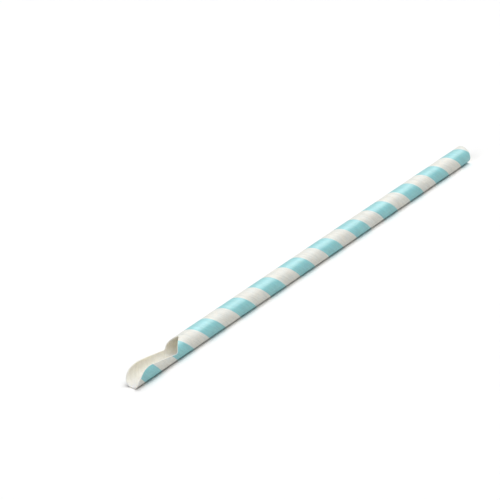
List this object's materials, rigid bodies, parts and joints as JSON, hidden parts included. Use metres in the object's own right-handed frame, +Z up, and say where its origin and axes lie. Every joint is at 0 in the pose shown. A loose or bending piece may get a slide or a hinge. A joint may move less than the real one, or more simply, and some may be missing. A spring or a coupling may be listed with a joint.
{
  "type": "paper drinking straw",
  "caption": "Straight strip-wound paper drinking straw with a spoon-shaped scoop cut into one end, the other end cut square, striped in a broad helical band.",
  "frame": {"origin": "on the flat that the straw lies on, below the middle of its length", "axes": "+X along the straw, from the scoop's lip to the square end; +Z up, out of the scoop's open top"},
  "size_m": [0.2, 0.0094, 0.0082],
  "materials": {
    "paper": "satin wound paper, broad pale blue and white bands outside, plain off-white inside"
  },
  "bodies": {
    "root": {"straw": "paper"}
  },
  "joints": []
}
